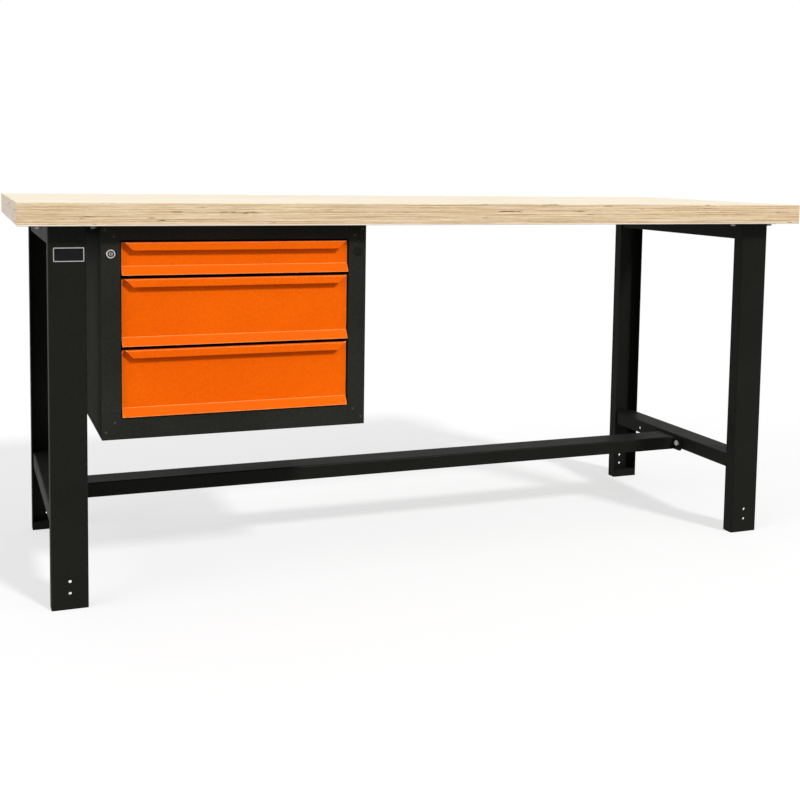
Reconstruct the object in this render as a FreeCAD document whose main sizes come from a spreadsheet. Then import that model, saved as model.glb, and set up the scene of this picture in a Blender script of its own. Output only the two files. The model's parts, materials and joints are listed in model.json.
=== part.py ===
import FreeCAD, Part
import math
import os
import re
from collections import namedtuple
import Sketcher

# Workbench: a thick plywood top on a folded steel frame, with a hung cabinet of three drawers.
# X runs along the bench to the right, Y to the back and Z up, in millimetres.
# The origin is on the floor, under the middle of the top.

doc = FreeCAD.newDocument("workbench")
sheet = doc.addObject("Spreadsheet::Sheet", "Sizes")
nodes = []

# Driving dimensions
sizes = {
    # plywood top
    "worktop_length": 2000,
    "worktop_depth": 750,
    "worktop_thickness": 50,
    "worktop_edge_break": 1.2,
    "bench_height": 900,
    # legs: folded channels whose open side looks into the frame
    "leg_width": 80,
    "leg_depth": 35,
    "leg_sheet": 2.5,
    "leg_end_inset": 65,
    "leg_front_inset": 48,
    "bend_radius": 1.5,
    "foot_hole": 7,
    "foot_hole_low": 36,
    "foot_hole_pitch": 27,
    "foot_plate_sheet": 4,
    "foot_plate_height": 18,
    "top_plate_overhang": 28,
    "top_plate_sheet": 3,
    # rails and stretchers: channels open below
    "rail_sheet": 2.5,
    "top_rail_height": 41,
    "stretcher_height": 36,
    "side_stretcher_top": 212,
    "long_stretcher_top": 205,
    "long_stretcher_width": 80,
    "end_plate_sheet": 4,
    "end_plate_length": 150,
    "end_plate_corner": 9,
    "stretcher_bolt_pitch": 114,
    "spare_hole_from_middle": 153,
    "bolt_shank": 8,
    "bolt_flats": 13,
    "bolt_head": 5.3,
    "bolt_nut": 6.5,
    "bolt_end": 3,
    "hole_clearance": 0.4,
    # drawer cabinet
    "cabinet_width": 610,
    "cabinet_height": 476,
    "cabinet_depth": 580,
    "cabinet_leg_gap": 31,
    "cabinet_sheet": 1.5,
    "panel_flange": 15,
    "post_width": 42,
    "post_depth": 40,
    "post_back_flange": 12,
    "post_edge_round": 1.2,
    "rear_post_depth": 45,
    "top_band": 34,
    "bottom_band": 48,
    "band_return": 18,
    "band_relief": 2,
    # drawers
    "drawer_top_gap": 4,
    "drawer_gap": 8,
    "drawer_side_gap": 2.5,
    "small_front_height": 73,
    "large_front_height": 150,
    "front_sheet": 1.5,
    "front_recess": 8,
    "front_return": 14,
    "return_relief": 4,
    "lip_reach": 14,
    "lip_drop": 18,
    "lip_end_inset": 6,
    "flare_reach": 12,
    "flare_height": 20,
    "box_sheet": 1.2,
    "box_hem": 9,
    "box_depth": 540,
    "box_rise": 6,
    "small_box_height": 55,
    "large_box_height": 125,
    # three-member runners
    "runner_space": 13,
    "runner_height": 36,
    "runner_length": 535,
    "runner_start": 24,
    "runner_sheet": 1.2,
    "runner_play": 0.4,
    "runner_rise": 22,
    "fixed_runner_reach": 9.5,
    "middle_runner_reach": 9.4,
    # lock in the left post, plug in the right one
    "lock_drop": 63,
    "lock_flange": 19.5,
    "lock_flange_height": 2.2,
    "lock_rim_break": 0.6,
    "lock_recess": 15,
    "lock_recess_depth": 2.6,
    "lock_body": 16,
    "lock_body_length": 21,
    "lock_hole_play": 0.3,
    "lock_core": 12,
    "lock_core_play": 0.1,
    "lock_core_sunk": 0.3,
    "key_slot_width": 2.4,
    "key_slot_height": 7,
    "key_slot_depth": 6,
    "cam_gap": 0.4,
    "cam_disc": 18,
    "cam_sheet": 2,
    "cam_pin": 4,
    "cam_pin_offset": 5,
    "cam_pin_end": 1.5,
    "plug_flange": 21,
    "plug_flange_height": 1.5,
    "plug_rim_break": 0.8,
    "plug_stem_length": 8,
    # locking bar behind the left post
    "bar_width": 20,
    "bar_sheet": 3,
    "bar_start": 27,
    "bar_side_shift": 3,
    "bar_play": 0.5,
    "bar_travel": 10,
    "bar_overrun": 12,
    "hook_height": 6,
    "hook_gap": 1.5,
    "hook_box_gap": 2,
    "catch_height": 8,
    "catch_drop": 4,
    "catch_reach": 7,
    "catch_length": 6,
    "catch_gap": 3,
    "guide_height": 12,
    "guide_margin": 5,
    "upper_guide_drop": 41,
    "lower_guide_gap": 16.5,
}


def fill_sheet():
    for row, (alias, value) in enumerate(sizes.items(), start=1):
        sheet.set(f"A{row}", alias.replace("_", " "))
        sheet.set(f"B{row}", str(value))
        sheet.setAlias(f"B{row}", alias)
    doc.recompute()


def bound(text):
    """Expression on the sheet's cells, from a text that names them by alias."""
    functions = ("sqrt",)

    def cell(word):
        return word.group() if word.group() in functions else "Sizes." + word.group()
    return re.sub(r"[a-z]\w*", cell, text)


# Sketch outlines: a polygon is a list of points, and each coordinate is a text on the sheet
Round = namedtuple("Round", "across along diameter")


def rectangle(across_low, across_high, along_low, along_high):
    return [(across_low, along_low), (across_high, along_low),
            (across_high, along_high), (across_low, along_high)]


def channel(width, depth, thickness, sign):
    """U-shaped fold: web on the across axis, both flanges to the sign's side."""
    half = f"({width}) / 2"
    inner = f"({half} - {thickness})"
    tip = f"{sign} * ({depth})"
    web = f"{sign} * ({thickness})"
    return [(f"-({half})", "0"), (half, "0"), (half, tip), (inner, tip),
            (inner, web), (f"-{inner}", web), (f"-{inner}", tip), (f"-({half})", tip)]


CHANNEL_OUTER_BENDS = (0, 1)
CHANNEL_INNER_BENDS = (4, 5)


def shifted(points, across, along):
    return [(f"({a}) + ({across})", f"({b}) + ({along})") for a, b in points]


def hexagon(across, along, flats):
    corner = f"({flats}) / sqrt(3)"
    half_corner = f"({flats}) / (2 * sqrt(3))"
    half_flat = f"({flats}) / 2"
    points = [("0", corner), (half_flat, half_corner), (half_flat, f"-({half_corner})"),
              ("0", f"-({corner})"), (f"-({half_flat})", f"-({half_corner})"), (f"-({half_flat})", half_corner)]
    return shifted(points, across, along)


def draw_polygon(sketch, points):
    first = sketch.GeometryCount
    count = len(points)
    turn = 2 * math.pi / count
    start = [FreeCAD.Vector(math.cos(turn * i), math.sin(turn * i), 0) for i in range(count)]
    for i in range(count):
        sketch.addGeometry(Part.LineSegment(start[i], start[(i + 1) % count]))
    for i, (across, along) in enumerate(points):
        sketch.addConstraint(Sketcher.Constraint("Coincident", first + i, 2, first + (i + 1) % count, 1))
        set_place(sketch, first + i, 1, start[i], across, along)


def draw_round(sketch, circle):
    start = FreeCAD.Vector(1, 1, 0)
    index = sketch.addGeometry(Part.Circle(start, FreeCAD.Vector(0, 0, 1), 1))
    set_place(sketch, index, 3, start, circle.across, circle.along)
    size = sketch.addConstraint(Sketcher.Constraint("Diameter", index, 2))
    sketch.setExpression(f"Constraints[{size}]", bound(circle.diameter))


def set_place(sketch, geometry, point, start, across, along):
    for kind, value, text in (("DistanceX", start.x, across), ("DistanceY", start.y, along)):
        index = sketch.addConstraint(Sketcher.Constraint(kind, -1, 1, geometry, point, value))
        sketch.setExpression(f"Constraints[{index}]", bound(text))


def new_body(label, place=("0", "0", "0")):
    body = doc.addObject("PartDesign::Body", label)
    body.Label = label
    body.AllowCompound = True
    for axis, text in zip("xyz", place):
        body.setExpression(f"Placement.Base.{axis}", bound(text))
    nodes.append(body)
    return body


def new_sketch(body, plane, offset, outlines):
    origin = next(feature for feature in body.Origin.OriginFeatures if feature.Role == plane)
    sketch = body.newObject("Sketcher::SketchObject", f"{body.Name}_outline")
    sketch.AttachmentSupport = [(origin, "")]
    sketch.MapMode = "FlatFace"
    sketch.setExpression("AttachmentOffset.Base.z", bound(offset))
    for outline in outlines:
        if isinstance(outline, Round):
            draw_round(sketch, outline)
        else:
            draw_polygon(sketch, outline)
    return sketch


def extrude(kind, body, plane, outlines, low, high):
    """Pad or pocket between two places along the plane's axis; the XZ plane looks towards -Y."""
    offset = f"-({high})" if plane == "XZ_Plane" else low
    sketch = new_sketch(body, plane, offset, outlines)
    doc.recompute()
    before = body.Shape.Volume if body.Tip else 0.0
    feature = body.newObject(f"PartDesign::{kind}", f"{body.Name}_{kind.lower()}")
    feature.Profile = sketch
    feature.setExpression("Length", bound(f"({high}) - ({low})"))
    feature.Reversed = kind == "Pocket"
    body.Tip = feature
    doc.recompute()
    change = body.Shape.Volume - before
    if (change >= 0) if kind == "Pocket" else (change <= 0):
        raise RuntimeError(f"{kind} on {body.Label} changes nothing")
    return sketch


def add(body, plane, outlines, low, high):
    return extrude("Pad", body, plane, outlines, low, high)


def cut(body, plane, outlines, low, high):
    return extrude("Pocket", body, plane, outlines, low, high)


def bend(body, sketch, corners, radius):
    """Round the folds that stand on the given corners of an extruded outline."""
    places = [sketch.Placement.multVec(sketch.Geometry[corner].StartPoint) for corner in corners]
    normal = sketch.Placement.Rotation.multVec(FreeCAD.Vector(0, 0, 1))
    base = body.Tip
    edges = []
    for number, edge in enumerate(base.Shape.Edges, start=1):
        if not isinstance(edge.Curve, Part.Line) or edge.Curve.Direction.cross(normal).Length > 1e-6:
            continue
        if any(on_line(edge, place) for place in places):
            edges.append(f"Edge{number}")
    feature = body.newObject("PartDesign::Fillet", f"{body.Name}_bend")
    feature.Base = (base, edges)
    feature.setExpression("Radius", bound(radius))
    body.Tip = feature
    doc.recompute()


def on_line(edge, place):
    offset = place - edge.Vertexes[0].Point
    return offset.cross(edge.Curve.Direction).Length < 1e-4


def fold_channel(body, sketch, thickness):
    bend(body, sketch, CHANNEL_OUTER_BENDS, f"bend_radius + {thickness}")
    bend(body, sketch, CHANNEL_INNER_BENDS, "bend_radius")


fill_sheet()

# Places that several pieces share
LEG_MIDDLE = "(worktop_length / 2 - leg_end_inset - leg_width / 2)"
LEG_FACE = "(worktop_depth / 2 - leg_front_inset)"
TOP_UNDERSIDE = "(bench_height - worktop_thickness)"
LEG_TOP = f"({TOP_UNDERSIDE} - top_plate_sheet)"
RAIL_WIDTH = "(leg_width - 2 * (leg_sheet + bend_radius))"
RAIL_HALF_LENGTH = f"({LEG_FACE} - leg_sheet)"
STRETCHER_FACE = f"({LEG_MIDDLE} - {RAIL_WIDTH} / 2)"
BOLT_HEIGHT = "((side_stretcher_top - stretcher_height + long_stretcher_top) / 2)"
BOLT_HOLE = "bolt_shank + hole_clearance"
SIDES = {"left": -1, "right": 1}
ENDS = {"front": -1, "rear": 1}


def leg_corners():
    return [(x_sign, y_sign) for x_sign in SIDES.values() for y_sign in ENDS.values()]


# Cabinet frame: the middle of its front plane, at its lower edge
CABINET_MIDDLE = "(worktop_length / 2 - leg_end_inset - leg_width - cabinet_leg_gap - cabinet_width / 2)"
CABINET_PLACE = (f"-{CABINET_MIDDLE}", f"-{LEG_FACE}", f"{TOP_UNDERSIDE} - cabinet_height")
CABINET_HALF = "(cabinet_width / 2)"
INSIDE_HALF = f"({CABINET_HALF} - cabinet_sheet)"
INSIDE_BACK = "(cabinet_depth - 2 * cabinet_sheet)"
OPENING_HALF = f"({CABINET_HALF} - post_width)"
OPENING_TOP = "(cabinet_height - top_band)"
POST_MIDDLE = f"({CABINET_HALF} - post_width / 2)"
LOCK_HEIGHT = "(cabinet_height - lock_drop)"
BOX_HALF = f"({OPENING_HALF} - runner_space)"
FRONT_BACK = "(front_recess + front_sheet)"

# Drawers from the top down: name, height of the front, height of the box, lower edge of the front
Drawer = namedtuple("Drawer", "name front box low")
UPPER_LOW = f"({OPENING_TOP} - drawer_top_gap - small_front_height)"
MIDDLE_LOW = f"({UPPER_LOW} - drawer_gap - large_front_height)"
LOWER_LOW = f"({MIDDLE_LOW} - drawer_gap - large_front_height)"
DRAWERS = (Drawer("upper_drawer", "small_front_height", "small_box_height", UPPER_LOW),
           Drawer("middle_drawer", "large_front_height", "large_box_height", MIDDLE_LOW),
           Drawer("lower_drawer", "large_front_height", "large_box_height", LOWER_LOW))


def box_bottom(drawer):
    return f"({drawer.low} + box_rise)"


def catch_top(drawer):
    return f"({box_bottom(drawer)} + {drawer.box} - catch_drop)"


def make_worktop():
    body = new_body("worktop")
    board = rectangle("-worktop_length / 2", "worktop_length / 2", "-worktop_depth / 2", "worktop_depth / 2")
    add(body, "XY_Plane", [board], TOP_UNDERSIDE, "bench_height")
    rim = [f"Edge{number}" for number, edge in enumerate(body.Tip.Shape.Edges, start=1)
           if abs(edge.Curve.Direction.z) < 0.5]
    dress_edges(body, rim, "worktop_edge_break")


def dress_edges(body, edges, size):
    base = body.Tip
    feature = body.newObject("PartDesign::Chamfer", f"{body.Name}_edge_break")
    feature.Base = (base, edges)
    feature.setExpression("Size", bound(size))
    body.Tip = feature
    doc.recompute()


def front_rim(body, diameter):
    """The foremost round edge of a turned piece that lies along Y."""
    rims = [(edge.Curve.Center.y, f"Edge{number}") for number, edge in enumerate(body.Tip.Shape.Edges, start=1)
            if isinstance(edge.Curve, Part.Circle) and abs(2 * edge.Curve.Radius - sheet.get(diameter)) < 1e-6]
    return min(rims)[1]


def make_legs():
    for side, x_sign in SIDES.items():
        for end, y_sign in ENDS.items():
            body = new_body(f"{end}_{side}_leg", (f"{x_sign} * {LEG_MIDDLE}", f"{y_sign} * {LEG_FACE}", "0"))
            section = channel("leg_width", "leg_depth", "leg_sheet", -y_sign)
            sketch = add(body, "XY_Plane", [section], "0", LEG_TOP)
            fold_channel(body, sketch, "leg_sheet")
            holes = [Round("0", height, "foot_hole") for height in ("foot_hole_low", "foot_hole_low + foot_hole_pitch")]
            low, high = ("0", "leg_sheet") if y_sign < 0 else ("-leg_sheet", "0")
            cut(body, "XZ_Plane", holes, low, high)


def make_leg_plates():
    feet = new_body("foot_plates")
    tops = new_body("leg_top_plates")
    foot_outlines = []
    skirt_outlines = []
    top_outlines = []
    for x_sign, y_sign in leg_corners():
        middle = f"{x_sign} * {LEG_MIDDLE}"
        web = f"{y_sign} * ({LEG_FACE} - leg_sheet)"
        tip = f"{y_sign} * ({LEG_FACE} - leg_depth)"
        left, right = f"{middle} - {RAIL_WIDTH} / 2", f"{middle} + {RAIL_WIDTH} / 2"
        foot_outlines.append(rectangle(left, right, web, tip))
        inside = "(leg_width / 2 - leg_sheet)"
        skirt_outlines.append(rectangle(f"{middle} - {inside}", f"{middle} + {inside}",
                                        tip, f"{tip} + {y_sign} * foot_plate_sheet"))
        half = "(leg_width / 2 + top_plate_overhang)"
        top_outlines.append(rectangle(f"{middle} - {half}", f"{middle} + {half}", f"{y_sign} * {LEG_FACE}", tip))
    foot_top = "(foot_plate_height + foot_plate_sheet)"
    add(feet, "XY_Plane", foot_outlines, "foot_plate_height", foot_top)
    add(feet, "XY_Plane", skirt_outlines, "0", "foot_plate_height")
    add(tops, "XY_Plane", top_outlines, LEG_TOP, TOP_UNDERSIDE)


def make_rails():
    for side, x_sign in SIDES.items():
        rail = new_body(f"{side}_top_rail", (f"{x_sign} * {LEG_MIDDLE}", "0", LEG_TOP))
        section = channel(RAIL_WIDTH, "top_rail_height", "rail_sheet", -1)
        sketch = add(rail, "XZ_Plane", [section], f"-{RAIL_HALF_LENGTH}", RAIL_HALF_LENGTH)
        fold_channel(rail, sketch, "rail_sheet")
        stretcher = new_body(f"{side}_side_stretcher", (f"{x_sign} * {LEG_MIDDLE}", "0", "side_stretcher_top"))
        section = channel(RAIL_WIDTH, "stretcher_height", "rail_sheet", -1)
        sketch = add(stretcher, "XZ_Plane", [section], f"-{RAIL_HALF_LENGTH}", RAIL_HALF_LENGTH)
        fold_channel(stretcher, sketch, "rail_sheet")
        height = f"({BOLT_HEIGHT} - side_stretcher_top)"
        holes = [Round(place, height, BOLT_HOLE)
                 for place in ("-stretcher_bolt_pitch / 2", "stretcher_bolt_pitch / 2", "spare_hole_from_middle")]
        outer, inner = f"{RAIL_WIDTH} / 2", f"({RAIL_WIDTH} / 2 - rail_sheet)"
        low, high = (inner, outer) if x_sign < 0 else (f"-({outer})", f"-{inner}")
        cut(stretcher, "YZ_Plane", holes, low, high)


def make_long_stretcher():
    half_length = f"({STRETCHER_FACE} - end_plate_sheet)"
    body = new_body("long_stretcher", ("0", "0", "long_stretcher_top"))
    section = channel("long_stretcher_width", "stretcher_height", "rail_sheet", -1)
    sketch = add(body, "YZ_Plane", [section], f"-{half_length}", half_length)
    fold_channel(body, sketch, "rail_sheet")
    bolts = new_body("stretcher_bolts")
    nuts = new_body("stretcher_nuts")
    places = [("-stretcher_bolt_pitch / 2", BOLT_HEIGHT), ("stretcher_bolt_pitch / 2", BOLT_HEIGHT)]
    for side, x_sign in SIDES.items():
        plate = new_body(f"{side}_stretcher_end_plate")
        outline = rectangle("-end_plate_length / 2", "end_plate_length / 2",
                            "long_stretcher_top - stretcher_height", "long_stretcher_top")
        nut_start = f"({STRETCHER_FACE} + rail_sheet)"
        nut_end = f"({nut_start} + bolt_nut)"
        sketch = add(plate, "YZ_Plane", [outline], *span(x_sign, half_length, STRETCHER_FACE))
        bend(plate, sketch, range(len(outline)), "end_plate_corner")
        cut(plate, "YZ_Plane", [Round(y, z, BOLT_HOLE) for y, z in places],
            *span(x_sign, half_length, STRETCHER_FACE))
        add(bolts, "YZ_Plane", [hexagon(y, z, "bolt_flats") for y, z in places],
            *span(x_sign, f"({half_length} - bolt_head)", half_length))
        add(bolts, "YZ_Plane", [Round(y, z, "bolt_shank") for y, z in places],
            *span(x_sign, half_length, f"({nut_end} + bolt_end)"))
        add(nuts, "YZ_Plane", [hexagon(y, z, "bolt_flats") for y, z in places], *span(x_sign, nut_start, nut_end))
        cut(nuts, "YZ_Plane", [Round(y, z, "bolt_shank") for y, z in places], *span(x_sign, nut_start, nut_end))


def span(sign, near, far):
    """Low and high place along an axis, for a stretch that is mirrored where the sign is negative."""
    return (near, far) if sign > 0 else (f"-({far})", f"-({near})")


def make_cabinet_panels():
    for side, sign in SIDES.items():
        body = new_body(f"cabinet_{side}_side", CABINET_PLACE)
        section = [(f"{sign} * {CABINET_HALF}", "cabinet_sheet"),
                   (f"{sign} * {CABINET_HALF}", "cabinet_depth"),
                   (f"{sign} * ({CABINET_HALF} - panel_flange)", "cabinet_depth"),
                   (f"{sign} * ({CABINET_HALF} - panel_flange)", "cabinet_depth - cabinet_sheet"),
                   (f"{sign} * {INSIDE_HALF}", "cabinet_depth - cabinet_sheet"),
                   (f"{sign} * {INSIDE_HALF}", "cabinet_sheet")]
        sketch = add(body, "XY_Plane", [section], "0", "cabinet_height")
        bend(body, sketch, (1,), "bend_radius + cabinet_sheet")
    back = new_body("cabinet_back", CABINET_PLACE)
    panel = rectangle(f"-{INSIDE_HALF}", INSIDE_HALF, "0", "cabinet_height")
    add(back, "XZ_Plane", [panel], INSIDE_BACK, "cabinet_depth - cabinet_sheet")
    tray = channel(f"2 * {INSIDE_HALF}", "panel_flange", "cabinet_sheet", 1)
    bottom = new_body("cabinet_bottom", CABINET_PLACE)
    sketch = add(bottom, "XZ_Plane", [tray], "2 * cabinet_sheet", INSIDE_BACK)
    fold_channel(bottom, sketch, "cabinet_sheet")
    tray = shifted(channel(f"2 * {INSIDE_HALF}", "panel_flange", "cabinet_sheet", -1), "0", "cabinet_height")
    top = new_body("cabinet_top", CABINET_PLACE)
    sketch = add(top, "XZ_Plane", [tray], "2 * cabinet_sheet", INSIDE_BACK)
    fold_channel(top, sketch, "cabinet_sheet")


def make_front_posts():
    for side, sign in SIDES.items():
        body = new_body(f"cabinet_{side}_post", CABINET_PLACE)
        face = rectangle(f"{sign} * {CABINET_HALF}", f"{sign} * {OPENING_HALF}", "0", "cabinet_sheet")
        add(body, "XY_Plane", [face], "0", "cabinet_height")
        fold = [(OPENING_HALF, "0"), (OPENING_HALF, "post_depth"),
                (f"{OPENING_HALF} + post_back_flange", "post_depth"),
                (f"{OPENING_HALF} + post_back_flange", "post_depth - cabinet_sheet"),
                (f"{OPENING_HALF} + cabinet_sheet", "post_depth - cabinet_sheet"),
                (f"{OPENING_HALF} + cabinet_sheet", "0")]
        fold = [(f"{sign} * ({x})", y) for x, y in fold]
        sketch = add(body, "XY_Plane", [fold], "bottom_band", OPENING_TOP)
        bend(body, sketch, (1,), "bend_radius + cabinet_sheet")
        bend(body, sketch, (0,), "post_edge_round")
        lock_hole = Round(f"{sign} * {POST_MIDDLE}", LOCK_HEIGHT, "lock_body + lock_hole_play")
        cut(body, "XZ_Plane", [lock_hole], "0", "cabinet_sheet")
        if side == "left":
            slots = [rectangle("(bar_start - bar_play)", "(bar_start + bar_sheet + bar_play)",
                               f"({hook_low(drawer)} - bar_travel - bar_play)",
                               f"({hook_low(drawer)} + hook_height + bar_play)") for drawer in DRAWERS]
            cut(body, "YZ_Plane", slots, f"-({OPENING_HALF} + cabinet_sheet)", f"-{OPENING_HALF}")


def make_rear_posts():
    for side, sign in SIDES.items():
        body = new_body(f"cabinet_{side}_rear_post", CABINET_PLACE)
        back = INSIDE_BACK
        front = f"({INSIDE_BACK} - rear_post_depth)"
        fold = [(OPENING_HALF, front), (OPENING_HALF, back), (f"{OPENING_HALF} + panel_flange", back),
                (f"{OPENING_HALF} + panel_flange", f"{back} - cabinet_sheet"),
                (f"{OPENING_HALF} + cabinet_sheet", f"{back} - cabinet_sheet"),
                (f"{OPENING_HALF} + cabinet_sheet", front)]
        fold = [(f"{sign} * ({x})", y) for x, y in fold]
        sketch = add(body, "XY_Plane", [fold], "bottom_band", OPENING_TOP)
        bend(body, sketch, (1,), "bend_radius + cabinet_sheet")


def make_bands():
    lengths = {"bottom": ("0", "bottom_band", 1), "top": ("cabinet_height", "top_band", -1)}
    for name, (edge, height, sign) in lengths.items():
        body = new_body(f"cabinet_{name}_band", CABINET_PLACE)
        lip = f"{edge} + {sign} * {height}"
        lip_back = f"{edge} + {sign} * ({height} - cabinet_sheet)"
        section = [("0", edge), ("0", lip), ("band_return", lip), ("band_return", lip_back),
                   ("cabinet_sheet", lip_back), ("cabinet_sheet", edge)]
        sketch = add(body, "YZ_Plane", [section], f"-{OPENING_HALF}", OPENING_HALF)
        bend(body, sketch, (1,), "post_edge_round")
        backing = rectangle("cabinet_sheet", "2 * cabinet_sheet", edge, f"{edge} + {sign} * ({height} - band_relief)")
        add(body, "YZ_Plane", [backing], f"-{INSIDE_HALF}", INSIDE_HALF)


def hook_low(drawer):
    return f"({catch_top(drawer)} + hook_gap)"


def make_lock():
    x = f"-{POST_MIDDLE}"
    barrel = new_body("lock_barrel", CABINET_PLACE)
    add(barrel, "XZ_Plane", [Round(x, LOCK_HEIGHT, "lock_flange")], "-lock_flange_height", "0")
    add(barrel, "XZ_Plane", [Round(x, LOCK_HEIGHT, "lock_body")], "0", "lock_body_length")
    cut(barrel, "XZ_Plane", [Round(x, LOCK_HEIGHT, "lock_core + lock_core_play")],
        "-lock_flange_height", "lock_body_length")
    cut(barrel, "XZ_Plane", [Round(x, LOCK_HEIGHT, "lock_recess")],
        "-lock_flange_height", "(lock_recess_depth - lock_flange_height)")
    dress_edges(barrel, [front_rim(barrel, "lock_flange")], "lock_rim_break")
    core = new_body("lock_core", CABINET_PLACE)
    core_front = "(lock_core_sunk - lock_flange_height)"
    core_back = "(lock_body_length + cam_gap)"
    add(core, "XZ_Plane", [Round(x, LOCK_HEIGHT, "lock_core")], core_front, core_back)
    slot = rectangle(f"{x} - key_slot_width / 2", f"{x} + key_slot_width / 2",
                     f"{LOCK_HEIGHT} - key_slot_height / 2", f"{LOCK_HEIGHT} + key_slot_height / 2")
    cut(core, "XZ_Plane", [slot], core_front, f"({core_front} + key_slot_depth)")
    cam = new_body("lock_cam", CABINET_PLACE)
    cam_back = f"({core_back} + cam_sheet)"
    add(cam, "XZ_Plane", [Round(x, LOCK_HEIGHT, "cam_disc")], core_back, cam_back)
    pin = Round(f"{x} - cam_pin_offset", f"{LOCK_HEIGHT} + cam_pin_offset", "cam_pin")
    add(cam, "XZ_Plane", [pin], cam_back, "(bar_start + bar_sheet + cam_pin_end)")
    plug = new_body("post_plug", CABINET_PLACE)
    add(plug, "XZ_Plane", [Round(POST_MIDDLE, LOCK_HEIGHT, "plug_flange")], "-plug_flange_height", "0")
    add(plug, "XZ_Plane", [Round(POST_MIDDLE, LOCK_HEIGHT, "lock_body")], "0", "plug_stem_length")
    dress_edges(plug, [front_rim(plug, "plug_flange")], "plug_rim_break")


def make_locking_bar():
    body = new_body("locking_bar", CABINET_PLACE)
    middle = f"-({POST_MIDDLE} + bar_side_shift)"
    low = f"({hook_low(DRAWERS[-1])} - bar_overrun)"
    high = f"({hook_low(DRAWERS[0])} + hook_height)"
    bar_end = "(bar_start + bar_sheet)"
    left, right = f"({middle} - bar_width / 2)", f"({middle} + bar_width / 2)"
    add(body, "XZ_Plane", [rectangle(left, right, low, high)], "bar_start", bar_end)
    tip = f"-({BOX_HALF} + hook_box_gap)"
    hooks = new_body("locking_hooks", CABINET_PLACE)
    outlines = [rectangle(right, tip, hook_low(drawer), f"{hook_low(drawer)} + hook_height") for drawer in DRAWERS]
    add(hooks, "XZ_Plane", outlines, "bar_start", bar_end)
    swing = "(cam_pin_offset * (sqrt(2) - 1))"
    pin_x = f"(-{POST_MIDDLE} - cam_pin_offset)"
    pin_z = f"({LOCK_HEIGHT} + cam_pin_offset)"
    slot = rectangle(f"{pin_x} - {swing} - cam_pin / 2 - bar_play", f"{pin_x} + cam_pin / 2 + bar_play",
                     f"{pin_z} - cam_pin / 2 - bar_play", f"{pin_z} + cam_pin / 2 + bar_play")
    cut(body, "XZ_Plane", [slot], "bar_start", bar_end)
    guides = new_body("locking_bar_guides", CABINET_PLACE)
    lows = (f"({LOCK_HEIGHT} - upper_guide_drop)", f"({hook_low(DRAWERS[-1])} + hook_height + lower_guide_gap)")
    block = rectangle(f"{left} - guide_margin", f"{right} + guide_margin", "cabinet_sheet", f"{bar_end} + guide_margin")
    passage = rectangle(f"{left} - runner_play", f"{right} + runner_play",
                        "bar_start - runner_play", f"{bar_end} + runner_play")
    for guide_low in lows:
        add(guides, "XY_Plane", [block], guide_low, f"({guide_low} + guide_height)")
        cut(guides, "XY_Plane", [passage], guide_low, f"({guide_low} + guide_height)")


def front_section(drawer):
    """Folded front, seen from the end: face, grip lip along the top and flared lower edge."""
    face = "front_recess"
    low = drawer.low
    top = f"({low} + {drawer.front})"
    slant = "sqrt(flare_reach * flare_reach + flare_height * flare_height)"
    lip = f"({face} - lip_reach)"
    return [(f"{face} - flare_reach", low),
            (face, f"{low} + flare_height"),
            (face, f"{top} - front_sheet"),
            (f"{lip} + front_sheet", f"{top} - front_sheet"),
            (f"{lip} + front_sheet", f"{top} - lip_drop"),
            (lip, f"{top} - lip_drop"),
            (lip, top),
            (f"{face} + front_sheet", top),
            (f"{face} + front_sheet", f"{low} + flare_height - front_sheet * ({slant} - flare_height) / flare_reach"),
            (f"{face} - flare_reach + front_sheet * {slant} / flare_height", low)]


FRONT_INNER_BENDS = (2, 3)
FRONT_OUTER_BENDS = (6, 7)


def make_drawer_front(drawer):
    body = new_body(f"{drawer.name}_front", CABINET_PLACE)
    half = f"({OPENING_HALF} - drawer_side_gap)"
    sketch = add(body, "YZ_Plane", [front_section(drawer)], f"-{half}", half)
    bend(body, sketch, FRONT_OUTER_BENDS, "bend_radius + front_sheet / 2")
    bend(body, sketch, FRONT_INNER_BENDS, "bend_radius / 2")
    top = f"({drawer.low} + {drawer.front})"
    # Both ends of the face are folded back
    returns = [rectangle(f"{sign} * {half}", f"{sign} * ({half} - front_sheet)",
                         "front_recess", "front_recess + front_return") for sign in SIDES.values()]
    add(body, "XY_Plane", returns, f"({drawer.low} + flare_height)", f"({top} - return_relief)")
    inset = f"({half} - lip_end_inset)"
    # The lip's ends are cut on the slant, and its flange stops short of the front's ends
    corners = []
    for sign in SIDES.values():
        outline = [(half, top), (inset, top), (f"{inset} - lip_drop", f"{top} - lip_drop"), (half, f"{top} - lip_drop")]
        corners.append([(f"{sign} * {x}" if x == half else f"{sign} * ({x})", z) for x, z in outline])
    cut(body, "XZ_Plane", corners, "front_recess - lip_reach", "front_recess")


def make_drawer_box(drawer):
    body = new_body(f"{drawer.name}_box", CABINET_PLACE)
    low = box_bottom(drawer)
    high = f"({low} + {drawer.box})"
    back = f"({FRONT_BACK} + box_depth)"
    shell = rectangle(f"-{BOX_HALF}", BOX_HALF, FRONT_BACK, back)
    add(body, "XY_Plane", [shell], low, high)
    wall = f"({BOX_HALF} - box_sheet)"
    mouth = f"({wall} - box_hem)"
    floor = f"({low} + box_sheet)"
    hem = f"({high} - box_sheet)"
    hollow = [(f"-{wall}", floor), (wall, floor), (wall, hem), (mouth, hem),
              (mouth, high), (f"-{mouth}", high), (f"-{mouth}", hem), (f"-{wall}", hem)]
    cut(body, "XZ_Plane", [hollow], f"{FRONT_BACK} + box_sheet", f"{back} - box_sheet")
    catch = new_body(f"{drawer.name}_catch", CABINET_PLACE)
    outline = rectangle(f"-({BOX_HALF} + catch_reach)", f"-{BOX_HALF}",
                        f"{catch_top(drawer)} - catch_height", catch_top(drawer))
    catch_start = "(bar_start + bar_sheet + catch_gap)"
    add(catch, "XZ_Plane", [outline], catch_start, f"({catch_start} + catch_length)")


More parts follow.
